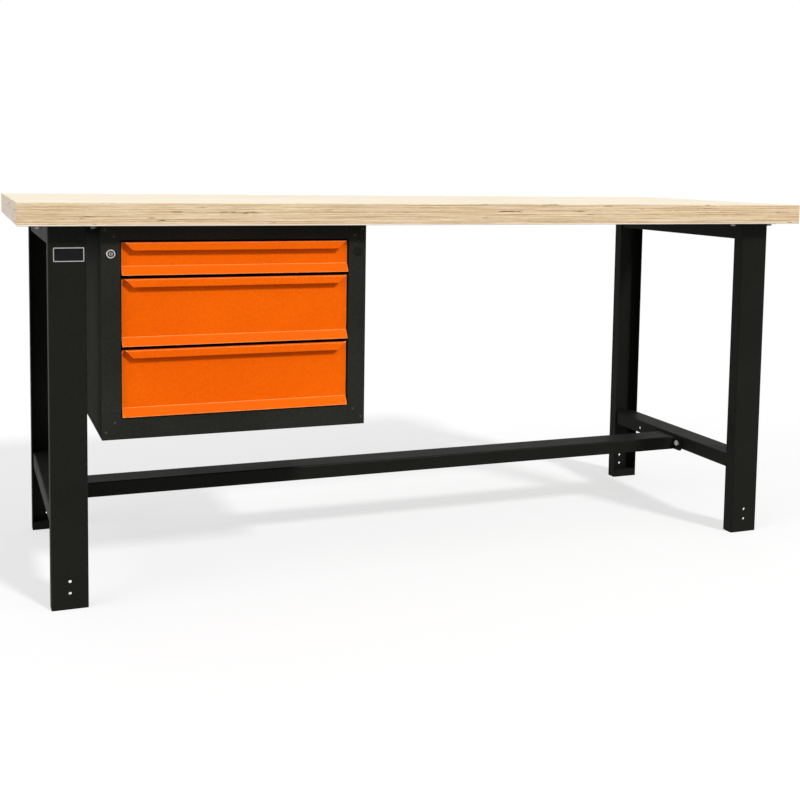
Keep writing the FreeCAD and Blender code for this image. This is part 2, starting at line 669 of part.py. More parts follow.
def make_runners(drawer):
    middle = f"({box_bottom(drawer)} + runner_rise)"
    middle_web = f"({OPENING_HALF} - runner_sheet - runner_play)"
    inner_tip = f"({middle_web} - runner_sheet - runner_play)"
    step = "2 * (runner_sheet + runner_play)"
    members = {"fixed": (OPENING_HALF, f"({OPENING_HALF} - fixed_runner_reach)", -1, "runner_height"),
               "middle": (middle_web, f"({middle_web} - middle_runner_reach)", -1, f"(runner_height - {step})"),
               "inner": (BOX_HALF, inner_tip, 1, f"(runner_height - 2 * {step})")}
    for name, (web, tip, direction, height) in members.items():
        body = new_body(f"{drawer.name}_{name}_runners", CABINET_PLACE)
        web_inside = f"({web} + {direction} * runner_sheet)"
        top, bottom = f"({middle} + {height} / 2)", f"({middle} - {height} / 2)"
        outline = [(web, bottom), (web, top), (tip, top), (tip, f"{top} - runner_sheet"),
                   (web_inside, f"{top} - runner_sheet"), (web_inside, f"{bottom} + runner_sheet"),
                   (tip, f"{bottom} + runner_sheet"), (tip, bottom)]
        sections = [[(f"{sign} * {x}", z) for x, z in outline] for sign in SIDES.values()]
        add(body, "XZ_Plane", sections, "runner_start", "(runner_start + runner_length)")


make_worktop()
make_legs()
make_leg_plates()
make_rails()
make_long_stretcher()
make_cabinet_panels()
make_front_posts()
make_rear_posts()
make_bands()
make_lock()
make_locking_bar()
for drawer in DRAWERS:
    make_drawer_front(drawer)
    make_drawer_box(drawer)
    make_runners(drawer)
doc.recompute()

for item in doc.Objects:
    if "Invalid" in item.State or "Error" in item.State:
        raise RuntimeError(f"{item.Label} failed: {item.State}")
for node in nodes:
    if node.Shape.isNull() or not node.Shape.isValid():
        raise RuntimeError(f"{node.Label} has no valid shape")

os.makedirs("parts", exist_ok=True)
for node in nodes:
    node.Shape.exportStep(f"parts/{node.Label}.step")
print(len(nodes), "nodes")
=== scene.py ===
# Workbench with a hung drawer cabinet: its finishes, bare plate, small fasteners, floor, light and camera
import json
import math
from collections import namedtuple

import bmesh
import bpy
from mathutils import Euler, Matrix, Vector


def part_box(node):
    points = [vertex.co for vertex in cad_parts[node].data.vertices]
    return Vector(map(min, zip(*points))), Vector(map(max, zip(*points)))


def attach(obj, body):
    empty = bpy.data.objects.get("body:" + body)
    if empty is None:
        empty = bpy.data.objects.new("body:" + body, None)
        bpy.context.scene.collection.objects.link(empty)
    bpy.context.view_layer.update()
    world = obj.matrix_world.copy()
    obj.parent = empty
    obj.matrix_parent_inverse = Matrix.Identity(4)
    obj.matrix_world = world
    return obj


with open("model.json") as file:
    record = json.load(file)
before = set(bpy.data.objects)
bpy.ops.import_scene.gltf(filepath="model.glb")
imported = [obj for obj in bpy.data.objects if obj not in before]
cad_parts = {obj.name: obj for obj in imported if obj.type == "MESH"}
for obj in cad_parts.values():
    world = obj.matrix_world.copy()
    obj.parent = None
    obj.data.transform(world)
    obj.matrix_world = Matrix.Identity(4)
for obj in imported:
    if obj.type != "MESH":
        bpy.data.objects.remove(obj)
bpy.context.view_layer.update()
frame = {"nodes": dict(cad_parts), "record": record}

MM = 0.001

# Colours, linear
WHITE = (1.0, 1.0, 1.0, 1)
BIRCH_PALE = (0.930, 0.870, 0.730, 1)
BIRCH_WARM = (0.850, 0.750, 0.575, 1)
BIRCH_PORE = (0.640, 0.500, 0.330, 1)
BIRCH_KNOT = (0.330, 0.205, 0.110, 1)
PLY_LONG = (0.960, 0.800, 0.565, 1)
PLY_END = (0.500, 0.330, 0.160, 1)
PLY_GLUE = (0.420, 0.280, 0.150, 1)
PLY_GAP = (0.070, 0.032, 0.015, 1)
PLY_PINK = (0.820, 0.610, 0.430, 1)
PLY_PALE = (0.960, 0.900, 0.790, 1)
# Paler, cooler tint painted on the end faces for the side light on them
PLY_SIDE_LIGHT_TINT = (0.850, 0.790, 0.755, 1)
GRAPHITE_DARK = (0.0062, 0.0065, 0.0048, 1)
GRAPHITE_LIGHT = (0.0132, 0.0137, 0.0110, 1)
GRAPHITE_WORN = (0.0520, 0.0520, 0.0480, 1)
CABINET_DARK = (0.0145, 0.0148, 0.0118, 1)
CABINET_LIGHT = (0.0300, 0.0306, 0.0256, 1)
CABINET_WORN = (0.0620, 0.0620, 0.0560, 1)
ORANGE_DEEP = (0.805, 0.103, 0.0008, 1)
ORANGE_BRIGHT = (0.965, 0.148, 0.0014, 1)
# Pale peach of the painted highlight along the orange fronts' bends and edges
ORANGE_HIGHLIGHT = (1.000, 0.480, 0.1600, 1)
BOX_DARK = (0.060, 0.061, 0.063, 1)
BOX_LIGHT = (0.082, 0.083, 0.085, 1)
BOX_WORN = (0.150, 0.150, 0.152, 1)
ZINC_BLUE = (0.560, 0.585, 0.620, 1)
ZINC_WARM = (0.680, 0.670, 0.640, 1)
NICKEL_PALE = (0.740, 0.720, 0.690, 1)
NICKEL_DULL = (0.560, 0.545, 0.520, 1)
CORE_PALE = (0.420, 0.390, 0.360, 1)
CORE_DULL = (0.300, 0.275, 0.250, 1)
# Painted shade of the lock's recess, key slot and core groove
RECESS_SHADE = (0.020, 0.017, 0.015, 1)
# Darker zinc, painted shade for zinc that sits in shadow
SHADED_ZINC_BLUE = (0.200, 0.205, 0.215, 1)
SHADED_ZINC_WARM = (0.290, 0.275, 0.265, 1)
# Rivet paint, lighter than the frame paint around it, with pale edges: partly wear, partly a painted
# highlight on the domed heads
RIVET_DARK = (0.0240, 0.0240, 0.0220, 1)
RIVET_LIGHT = (0.0420, 0.0420, 0.0390, 1)
RIVET_WORN_AND_HIGHLIGHT = (0.1600, 0.1600, 0.1500, 1)
PLASTIC_DARK = (0.0075, 0.0076, 0.0066, 1)
PLASTIC_LIGHT = (0.0130, 0.0132, 0.0118, 1)
RIM_BRIGHT = (0.480, 0.480, 0.470, 1)
RIM_DULL = (0.320, 0.320, 0.310, 1)
FIELD_DARK = (0.0060, 0.0062, 0.0070, 1)
FIELD_LIGHT = (0.0140, 0.0145, 0.0160, 1)

# Radius over which the edges of a finish are eased
WOOD_EASE = 0.7 * MM
ZINC_EASE = 0.4 * MM
NICKEL_EASE = 0.35 * MM
PLASTIC_EASE = 0.5 * MM
RIM_EASE = 0.3 * MM
EASE_SAMPLES = 6

# Depth of the fine relief on a finish
WOOD_RELIEF = 0.12 * MM
COAT_RELIEF = 0.09 * MM
ZINC_RELIEF = 0.02 * MM
NICKEL_RELIEF = 0.015 * MM
PLASTIC_RELIEF = 0.03 * MM
RIM_RELIEF = 0.02 * MM
FIELD_RELIEF = 0.015 * MM

# Range that a noise mostly keeps to
NOISE_LOW = 0.3
NOISE_HIGH = 0.7


class Finish:
    """One surface finish, built up from shader nodes on the piece's own coordinates, in metres"""

    def __init__(self, name, specular, metallic=0.0):
        self.material = bpy.data.materials.new(name)
        self.material.use_nodes = True
        self.tree = self.material.node_tree
        self.shader = self.tree.nodes["Principled BSDF"]
        self.shader.inputs["Specular IOR Level"].default_value = specular
        self.shader.inputs["Metallic"].default_value = metallic
        self.coordinates = self.tree.nodes.new("ShaderNodeTexCoord")
        self.place = self.coordinates.outputs["Object"]
        self.rounded = None

    def feed(self, socket, value):
        if isinstance(value, bpy.types.NodeSocket):
            self.tree.links.new(value, socket)
        else:
            socket.default_value = value

    def stretched(self, scale, shift=(0, 0, 0)):
        """The piece's coordinates, scaled by axis after a shift"""
        node = self.tree.nodes.new("ShaderNodeMapping")
        node.vector_type = "POINT"
        node.inputs["Scale"].default_value = scale
        node.inputs["Location"].default_value = [-s * k for s, k in zip(shift, scale)]
        self.feed(node.inputs["Vector"], self.place)
        return node.outputs["Vector"]

    def noise(self, scale, detail=2.0, roughness=0.5, distortion=0.0, vector=None):
        node = self.tree.nodes.new("ShaderNodeTexNoise")
        node.inputs["Scale"].default_value = scale
        node.inputs["Detail"].default_value = detail
        node.inputs["Roughness"].default_value = roughness
        node.inputs["Distortion"].default_value = distortion
        self.feed(node.inputs["Vector"], vector or self.place)
        return node.outputs["Fac"]

    def cells(self, scale, output, vector=None, dimensions="3D"):
        node = self.tree.nodes.new("ShaderNodeTexVoronoi")
        node.voronoi_dimensions = dimensions
        node.inputs["Scale"].default_value = scale
        self.feed(node.inputs["Vector"], vector or self.place)
        return node.outputs[output]

    def maths(self, operation, first, second=0.0, third=0.0):
        node = self.tree.nodes.new("ShaderNodeMath")
        node.operation = operation
        for socket, value in zip(node.inputs, (first, second, third)):
            self.feed(socket, value)
        return node.outputs["Value"]

    def span(self, value, low, high, new_low=0.0, new_high=1.0):
        """Map low..high to new_low..new_high, eased and held at the ends"""
        node = self.tree.nodes.new("ShaderNodeMapRange")
        node.interpolation_type = "SMOOTHSTEP"
        limits = {"From Min": low, "From Max": high, "To Min": new_low, "To Max": new_high}
        for name, number in limits.items():
            node.inputs[name].default_value = number
        self.feed(node.inputs["Value"], value)
        return node.outputs["Result"]

    def spread(self, noise, new_low=0.0, new_high=1.0):
        """Map a noise's usual range to new_low..new_high"""
        return self.span(noise, NOISE_LOW, NOISE_HIGH, new_low, new_high)

    def mix(self, factor, first, second):
        """Blend two colours"""
        node = self.tree.nodes.new("ShaderNodeMix")
        node.data_type = "RGBA"
        self.feed(node.inputs["Factor"], factor)
        colours = [socket for socket in node.inputs if socket.type == "RGBA"]
        self.feed(colours[0], first)
        self.feed(colours[1], second)
        return next(socket for socket in node.outputs if socket.type == "RGBA")

    def mix_values(self, factor, first, second):
        """Blend two plain values, whose sockets come straight after the node's two factors"""
        node = self.tree.nodes.new("ShaderNodeMix")
        node.data_type = "FLOAT"
        self.feed(node.inputs["Factor"], factor)
        self.feed(node.inputs[2], first)
        self.feed(node.inputs[3], second)
        return node.outputs[0]

    def axes(self, vector):
        node = self.tree.nodes.new("ShaderNodeSeparateXYZ")
        self.feed(node.inputs["Vector"], vector)
        return [node.outputs[axis] for axis in "XYZ"]

    def round_edges(self, radius):
        """Ease the shading of every sharp edge over a small radius"""
        node = self.tree.nodes.new("ShaderNodeBevel")
        node.samples = EASE_SAMPLES
        node.inputs["Radius"].default_value = radius
        self.rounded = node.outputs["Normal"]

    def edge_mask(self, start, full):
        """0 on flats and on edges that look down, away from the light, 1 where the eased edge turns furthest
        from the face; it places both edge wear and painted edge highlight
        """
        geometry = self.tree.nodes.new("ShaderNodeNewGeometry")
        dot = self.tree.nodes.new("ShaderNodeVectorMath")
        dot.operation = "DOT_PRODUCT"
        self.feed(dot.inputs[0], self.rounded)
        self.feed(dot.inputs[1], geometry.outputs["True Normal"])
        turn = self.span(dot.outputs["Value"], full, start, 1.0, 0.0)
        not_down = self.span(self.axes(self.rounded)[2], -0.35, 0.0)
        return self.maths("MULTIPLY", turn, not_down)

    def surface(self, colour, roughness, height, depth):
        """Join colour, roughness and a bump of the given depth to the shader"""
        self.feed(self.shader.inputs["Base Color"], colour)
        self.feed(self.shader.inputs["Roughness"], roughness)
        bump = self.tree.nodes.new("ShaderNodeBump")
        bump.inputs["Distance"].default_value = depth
        self.feed(bump.inputs["Height"], height)
        if self.rounded:
            self.feed(bump.inputs["Normal"], self.rounded)
        self.feed(self.shader.inputs["Normal"], bump.outputs["Normal"])


# Pale edges of a paint, wear on the dark coats and a painted highlight on the orange one: eased radius, turn
# where the paling starts and is full, least and most paling
Edge = namedtuple("Edge", "radius start full least most")
SOFT_EDGE = Edge(1.2 * MM, 0.995, 0.86, 0.10, 0.55)
BOX_EDGE = Edge(1.2 * MM, 0.995, 0.86, 0.10, 0.45)
KEEN_HIGHLIGHT_EDGE = Edge(2.0 * MM, 0.998, 0.975, 0.75, 1.00)
GLOSS_ROUGHNESS = 0.28


def powder_coat(name, colours, edge, specular, roughness, grain, gloss=0.0):
    """Baked powder paint: fine pebbled skin, faint clouding, pale edges that are wear on the dark coats and a
    painted highlight on the orange one
    """
    dark, light, worn_and_highlight = colours
    coat = Finish(name, specular)
    coat.shader.inputs["Coat Weight"].default_value = gloss
    coat.shader.inputs["Coat Roughness"].default_value = GLOSS_ROUGHNESS
    coat.round_edges(edge.radius)
    cloud = coat.noise(5.0, detail=4.0)
    mottle = coat.noise(230.0, detail=3.0, roughness=0.6)
    pebble = coat.noise(grain, detail=2.5, roughness=0.6)
    rub_and_highlight_noise = coat.noise(38.0, detail=5.0, roughness=0.65)
    tone = coat.maths("MULTIPLY_ADD", coat.spread(pebble), 0.25, coat.spread(cloud, 0.0, 0.35))
    tone = coat.maths("MULTIPLY_ADD", coat.span(mottle, 0.32, 0.68), 0.40, tone)
    rub_and_highlight_amount = coat.span(rub_and_highlight_noise, 0.38, 0.66, edge.least, edge.most)
    # Pale edges: rubbed wear on the dark coats, a painted highlight on the orange coat
    wear_and_highlight = coat.maths("MULTIPLY", coat.edge_mask(edge.start, edge.full), rub_and_highlight_amount)
    colour = coat.mix(wear_and_highlight, coat.mix(tone, dark, light), worn_and_highlight)
    clouded = coat.spread(cloud, roughness - 0.09, roughness)
    skin = coat.maths("MULTIPLY_ADD", coat.span(pebble, 0.25, 0.75), 0.10, clouded)
    coat.surface(colour, skin, pebble, COAT_RELIEF)
    return coat.material


# Plywood: how often each mark of the wood repeats in a metre, along X, Y and Z
PEEL_FIGURE = (0.50, 3.4, 1.0)
FIBRES = (5.0, 260.0, 1.0)
PORES = (38.0, 1100.0, 1.0)
PITH_FLECKS = (22.0, 190.0, 1.0)
PIN_KNOTS = (2.3, 4.2, 1.0)
EDGE_STRANDS = (7.0, 7.0, 560.0)
EDGE_FLECKS = (55.0, 55.0, 1100.0)
EDGE_PATCHES = (6.0, 6.0, 75.0)
PEEL_CONTOURS = 62.0
PLY_COUNT = 19
PLY_WANDER = 1.6 * MM
PLY_SHUFFLE = 17.3


def face_veneer(wood, peel, fibre, pore):
    """Colour of the faces: wavy figure of a peeled log, fibre, pores, pith flecks and a few pin knots"""
    figure = wood.maths("SINE", wood.maths("MULTIPLY", peel, PEEL_CONTOURS))
    pith = wood.noise(1.0, detail=2.0, roughness=0.6, vector=wood.stretched(PITH_FLECKS))
    grain = wood.maths("MULTIPLY_ADD", wood.spread(fibre), 0.45, wood.span(figure, -1.0, 1.0, 0.0, 0.34))
    grain = wood.maths("ADD", grain, wood.spread(peel, 0.0, 0.24))
    veneer = wood.mix(grain, BIRCH_PALE, BIRCH_WARM)
    veneer = wood.mix(wood.span(pore, 0.60, 0.74, 0.0, 0.35), veneer, BIRCH_PORE)
    veneer = wood.mix(wood.span(pith, 0.735, 0.79, 0.0, 0.55), veneer, BIRCH_PORE)
    knot_place = wood.stretched(PIN_KNOTS)
    knot = wood.span(wood.cells(1.0, "Distance", knot_place, "2D"), 0.006, 0.016, 1.0, 0.0)
    kept = wood.span(wood.axes(wood.cells(1.0, "Color", knot_place, "2D"))[0], 0.54, 0.56)
    return wood.mix(wood.maths("MULTIPLY", knot, wood.maths("MULTIPLY", kept, 0.8)), veneer, BIRCH_KNOT)


def plywood_finish():
    """Lacquered birch plywood: veneer grain along the length on its faces, plies on its edges"""
    wood = Finish("birch_plywood", 0.03)
    wood.round_edges(WOOD_EASE)
    low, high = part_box("worktop")
    height = wood.axes(wood.place)[2]
    facing = wood.axes(wood.coordinates.outputs["Normal"])
    on_face = wood.span(wood.maths("ABSOLUTE", facing[2]), 0.80, 0.90)
    peel = wood.noise(1.0, detail=1.2, roughness=0.4, distortion=0.3, vector=wood.stretched(PEEL_FIGURE))
    fibre = wood.noise(1.0, detail=6.0, roughness=0.7, vector=wood.stretched(FIBRES))
    pore = wood.noise(1.0, detail=3.0, roughness=0.6, vector=wood.stretched(PORES))
    veneer = face_veneer(wood, peel, fibre, pore)

    # Edge plies, every second one end grain; they wander a little, and their tone drifts along the edge
    wander = wood.maths("MULTIPLY", wood.maths("SUBTRACT", wood.noise(3.5, detail=3.0), 0.5), PLY_WANDER)
    above = wood.maths("ADD", wood.maths("SUBTRACT", height, low.z), wander)
    level = wood.maths("DIVIDE", above, (high.z - low.z) / PLY_COUNT)
    ply = wood.maths("FLOOR", level)
    crosswise = wood.maths("MODULO", ply, 2.0)
    seam = wood.maths("ABSOLUTE", wood.maths("SUBTRACT", wood.maths("FRACT", level), 0.5))

    def by_ply(per_metre, offset):
        """Noise that runs along one ply and differs from ply to ply"""
        run = wood.axes(wood.stretched((per_metre, per_metre, 1.0)))
        along = wood.tree.nodes.new("ShaderNodeCombineXYZ")
        wood.feed(along.inputs["X"], run[0])
        wood.feed(along.inputs["Y"], run[1])
        wood.feed(along.inputs["Z"], wood.maths("MULTIPLY_ADD", ply, PLY_SHUFFLE, offset))
        return wood.noise(1.0, detail=2.5, vector=along.outputs["Vector"])

    strand = wood.noise(1.0, detail=5.0, roughness=0.65, vector=wood.stretched(EDGE_STRANDS))
    fleck = wood.noise(1.0, detail=3.0, roughness=0.6, vector=wood.stretched(EDGE_FLECKS))
    patch = wood.noise(1.0, detail=3.0, roughness=0.6, vector=wood.stretched(EDGE_PATCHES))
    tone = wood.maths("MULTIPLY", crosswise, wood.span(by_ply(3.0, 5.9), 0.36, 0.64, 0.04, 0.38))
    tone = wood.maths("ADD", tone, wood.span(by_ply(2.5, 3.1), 0.34, 0.66, 0.0, 0.30))
    tone = wood.maths("ADD", tone, wood.span(strand, 0.38, 0.62, 0.0, 0.36))
    tone = wood.maths("ADD", tone, wood.span(fleck, 0.38, 0.62, 0.0, 0.26))
    stripe = wood.mix(tone, PLY_LONG, PLY_END)
    stripe = wood.mix(wood.span(patch, 0.44, 0.68, 0.0, 0.55), stripe, PLY_PINK)
    glue_shown = wood.span(by_ply(6.0, 9.7), 0.46, 0.66, 0.0, 0.80)
    glue = wood.maths("MULTIPLY", wood.span(seam, 0.36, 0.48), glue_shown)
    stripe = wood.mix(glue, stripe, PLY_GLUE)
    stripe = wood.mix(wood.span(level, 0.95, 1.25, 0.95, 0.0), stripe, PLY_PALE)
    # End faces, facing along X, are painted paler and cooler, a painted tint of the side light on them
    sideways = wood.maths("ABSOLUTE", facing[0])
    stripe = wood.mix(wood.span(sideways, 0.7, 0.9, 0.0, 0.52), stripe, PLY_SIDE_LIGHT_TINT)

    # Short ragged gaps in the inner plies
    ragged = wood.maths("MULTIPLY_ADD", wood.maths("SUBTRACT", fleck, 0.5), 0.30, by_ply(11.0, 0.0))
    gap = wood.maths("MULTIPLY", wood.span(ragged, 0.665, 0.715), wood.span(seam, 0.46, 0.26))
    gap = wood.maths("MULTIPLY", gap, wood.span(level, 1.2, 1.4))
    stripe = wood.mix(gap, stripe, PLY_GAP)

    colour = wood.mix(on_face, stripe, veneer)
    sheen = wood.maths("MULTIPLY_ADD", fibre, 0.16, wood.span(on_face, 0.0, 1.0, 0.60, 0.50))
    pore_depth = wood.span(pore, 0.58, 0.75, 0.0, 0.5)
    face_relief = wood.maths("SUBTRACT", wood.maths("MULTIPLY", fibre, 0.5), pore_depth)
    gap_depth = wood.maths("MULTIPLY", gap, 2.0)
    edge_relief = wood.maths("SUBTRACT", wood.maths("MULTIPLY", strand, 0.6), gap_depth)
    edge_relief = wood.maths("SUBTRACT", edge_relief, wood.span(seam, 0.42, 0.49, 0.0, 0.4))
    wood.surface(colour, sheen, wood.mix_values(on_face, edge_relief, face_relief), WOOD_RELIEF)
    return wood.material


def zinc_finish(name, blue, warm, roughness):
    """Zinc plate: small pale and bluish patches, fine drawn lines"""
    zinc = Finish(name, 0.5, metallic=1.0)
    zinc.round_edges(ZINC_EASE)
    patch = zinc.noise(60.0, detail=4.0, roughness=0.6)
    drawn = zinc.noise(1.0, detail=4.0, roughness=0.7, vector=zinc.stretched((900.0, 25.0, 900.0)))
    colour = zinc.mix(zinc.spread(patch), blue, warm)
    skin = zinc.maths("MULTIPLY_ADD", drawn, 0.16, zinc.spread(patch, roughness, roughness + 0.12))
    zinc.surface(colour, skin, drawn, ZINC_RELIEF)
    return zinc.material


# Lock: scale of its turned rings, depth at which the painted shade in its recess begins and is full, width of
# the shaded border round the core
RING_SCALE = 420.0
RECESS_SHADE_STARTS = 0.7 * MM
RECESS_SHADE_FULL = 1.6 * MM
SHADE_BORDER = 0.4 * MM


def turned_nickel(name, pale, dull, bright_out_to):
    """Nickel-plated lock casting with turned rings round its axis, and painted shade in its recess, its key
    slot and the groove round its core
    """
    nickel = Finish(name, 0.5, metallic=1.0)
    nickel.round_edges(NICKEL_EASE)
    low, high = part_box("lock_barrel")
    middle = (low + high) / 2
    rings = nickel.tree.nodes.new("ShaderNodeTexWave")
    rings.wave_type = "RINGS"
    rings.rings_direction = "Y"
    rings.inputs["Scale"].default_value = RING_SCALE
    rings.inputs["Distortion"].default_value = 1.5
    nickel.feed(rings.inputs["Vector"], nickel.stretched((1, 1, 1), shift=middle))
    cloud = nickel.noise(240.0, detail=4.0)
    colour = nickel.mix(nickel.span(cloud, 0.35, 0.7), pale, dull)
    # Painted shade: darker deeper than the face, in the recess and key slot, and beyond bright_out_to from
    # the axis, in the groove round the core
    depth = nickel.maths("SUBTRACT", nickel.axes(nickel.place)[1], low.y)
    recess_shade_mask = nickel.span(depth, RECESS_SHADE_STARTS, RECESS_SHADE_FULL)
    across = nickel.tree.nodes.new("ShaderNodeVectorMath")
    across.operation = "LENGTH"
    nickel.feed(across.inputs[0], nickel.stretched((1, 0, 1), shift=middle))
    border = (bright_out_to - SHADE_BORDER, bright_out_to + SHADE_BORDER)
    darkened = nickel.span(across.outputs["Value"], *border)
    recess_shade_mask = nickel.maths("MULTIPLY", nickel.maths("MAXIMUM", recess_shade_mask, darkened), 0.95)
    skin = nickel.maths("MULTIPLY_ADD", rings.outputs["Fac"], 0.10, nickel.spread(cloud, 0.16, 0.28))
    nickel.surface(nickel.mix(recess_shade_mask, colour, RECESS_SHADE), skin, rings.outputs["Fac"], NICKEL_RELIEF)
    return nickel.material


def moulded_plastic():
    """Black moulded plastic with a fine sparked skin"""
    plastic = Finish("black_moulding", 0.03)
    plastic.round_edges(PLASTIC_EASE)
    skin = plastic.cells(1500.0, "Distance")
    cloud = plastic.noise(45.0, detail=3.0)
    colour = plastic.mix(plastic.spread(cloud), PLASTIC_DARK, PLASTIC_LIGHT)
    plastic.surface(colour, plastic.spread(cloud, 0.34, 0.46), skin, PLASTIC_RELIEF)
    return plastic.material


def brushed_rim():
    """Bright brushed aluminium round the bare plate"""
    rim = Finish("plate_rim", 0.5, metallic=1.0)
    rim.round_edges(RIM_EASE)
    brush = rim.noise(1.0, detail=5.0, roughness=0.7, vector=rim.stretched((60.0, 900.0, 2600.0)))
    colour = rim.mix(rim.spread(brush), RIM_BRIGHT, RIM_DULL)
    rim.surface(colour, rim.spread(brush, 0.26, 0.42), brush, RIM_RELIEF)
    return rim.material


def plate_field():
    """Dark lacquered field of the bare plate, lightly brushed under the lacquer"""
    field = Finish("plate_field", 0.04)
    brush = field.noise(1.0, detail=5.0, roughness=0.7, vector=field.stretched((45.0, 900.0, 2200.0)))
    cloud = field.noise(70.0, detail=3.0)
    tone = field.maths("MULTIPLY_ADD", field.spread(brush), 0.5, field.spread(cloud, 0.0, 0.5))
    colour = field.mix(tone, FIELD_DARK, FIELD_LIGHT)
    field.surface(colour, field.spread(cloud, 0.28, 0.40), brush, FIELD_RELIEF)
    return field.material


frame_coat = powder_coat("graphite_frame_coat", (GRAPHITE_DARK, GRAPHITE_LIGHT, GRAPHITE_WORN), SOFT_EDGE,
                         specular=0.03, roughness=0.62, grain=1500.0, gloss=0.06)
cabinet_coat = powder_coat("graphite_cabinet_coat", (CABINET_DARK, CABINET_LIGHT, CABINET_WORN), SOFT_EDGE,
                           specular=0.004, roughness=0.64, grain=1500.0)
# The orange coat's pale lines along its bends and edges are a painted highlight, not wear
orange_coat = powder_coat("orange_front_coat", (ORANGE_DEEP, ORANGE_BRIGHT, ORANGE_HIGHLIGHT), KEEN_HIGHLIGHT_EDGE,
                          specular=0.03, roughness=0.55, grain=1900.0)
box_coat = powder_coat("grey_box_coat", (BOX_DARK, BOX_LIGHT, BOX_WORN), BOX_EDGE,
                       specular=0.10, roughness=0.55, grain=1700.0)
# Rivets are painted lighter than the frame, partly a painted highlight on their domed heads
rivet_coat = powder_coat("rivet_coat", (RIVET_DARK, RIVET_LIGHT, RIVET_WORN_AND_HIGHLIGHT), SOFT_EDGE,
                         specular=0.20, roughness=0.45, grain=2400.0)
plywood = plywood_finish()
zinc = zinc_finish("bright_zinc", ZINC_BLUE, ZINC_WARM, roughness=0.20)
# A darker copy of the bright zinc: painted shade for the screws under the worktop and cabinet top and for the
# fixed runners in the drawer gaps
zinc_in_painted_shade = zinc_finish("zinc_in_painted_shade", SHADED_ZINC_BLUE, SHADED_ZINC_WARM, roughness=0.34)
bolt_zinc = zinc_finish("bolt_zinc", ZINC_BLUE, ZINC_WARM, roughness=0.52)
nickel = turned_nickel("turned_nickel", NICKEL_PALE, NICKEL_DULL, bright_out_to=30 * MM)
core_nickel = turned_nickel("core_nickel", CORE_PALE, CORE_DULL, bright_out_to=4.4 * MM)
plastic = moulded_plastic()
rim_metal = brushed_rim()
field_lacquer = plate_field()

finish_of_slot = {
    "plywood": plywood,
    "frame_paint": frame_coat,
    "cabinet_paint": cabinet_coat,
    "front_paint": orange_coat,
    "box_paint": box_coat,
    "zinc_steel": zinc,
    "lock_metal": nickel,
    "black_plastic": plastic,
}
finish_of_node = {"lock_core": core_nickel, "stretcher_bolts": bolt_zinc, "stretcher_nuts": bolt_zinc}
# The fixed runners take the darker zinc, painted shade where they show in the drawer gaps
for drawer in ("upper", "middle", "lower"):
    finish_of_node[f"{drawer}_drawer_fixed_runners"] = zinc_in_painted_shade
slot_of_node = {part["node"]: part["material_slot"] for part in frame["record"]["subparts"]}
for node, piece in frame["nodes"].items():
    for slot in piece.material_slots:
        slot.material = finish_of_node.get(node, finish_of_slot[slot_of_node[node]])

MERGE_DISTANCE = 1e-6


def make_piece(name, mesh_work, finishes):
    """Turn finished mesh work into a piece that stands with the bench"""
    bmesh.ops.recalc_face_normals(mesh_work, faces=mesh_work.faces)
    mesh = bpy.data.meshes.new(name)
    mesh_work.to_mesh(mesh)
    mesh_work.free()
    for finish in finishes:
        mesh.materials.append(finish)
    piece = bpy.data.objects.new(name, mesh)
    bpy.context.scene.collection.objects.link(piece)
    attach(piece, "bench")


def repeat_at(pattern, places):
    """One mesh with a copy of the pattern at each place"""
    shape = bpy.data.meshes.new("pattern")
    pattern.to_mesh(shape)
    pattern.free()
    joined = bmesh.new()
    for place in places:
        before = len(joined.verts)
        joined.from_mesh(shape)
        joined.verts.ensure_lookup_table()
        bmesh.ops.translate(joined, verts=joined.verts[before:], vec=place)
    bpy.data.meshes.remove(shape)
    return joined


def turned(profile, steps):
    """Spin a profile of (radius, height) once round Z into a closed skin"""
    shape = bmesh.new()
    verts = [shape.verts.new((radius, 0, height)) for radius, height in profile]
    edges = [shape.edges.new(pair) for pair in zip(verts, verts[1:])]
    bmesh.ops.spin(shape, geom=verts + edges, cent=(0, 0, 0), axis=(0, 0, 1), dvec=(0, 0, 0),
                   angle=2 * math.pi, steps=steps, use_merge=True, use_duplicate=False)
    bmesh.ops.remove_doubles(shape, verts=shape.verts, dist=MERGE_DISTANCE)
    bmesh.ops.recalc_face_normals(shape, faces=shape.faces)
    for face in shape.faces:
        face.smooth = True
    return shape


def face_forward(shape):
    """Turn a shape that looks up so that it looks to the front"""
    bmesh.ops.rotate(shape, verts=shape.verts, cent=(0, 0, 0), matrix=Matrix.Rotation(math.pi / 2, 3, "X"))


# Bare plate on the front left leg
PLATE_SIZE = (65 * MM, 31 * MM)
PLATE_CORNER = 2.2 * MM
PLATE_CORNER_STEPS = 5
PLATE_EDGE = 0.25 * MM
PLATE_EDGE_STEPS = 2
PLATE_RIM = 1.7 * MM
PLATE_RIM_SLOPE = 0.2 * MM
PLATE_RIM_DEPTH = 0.35 * MM
PLATE_THICKNESS = 1.0 * MM
PLATE_FROM_INSIDE_EDGE = 36.5 * MM
PLATE_HEIGHT = 786.5 * MM


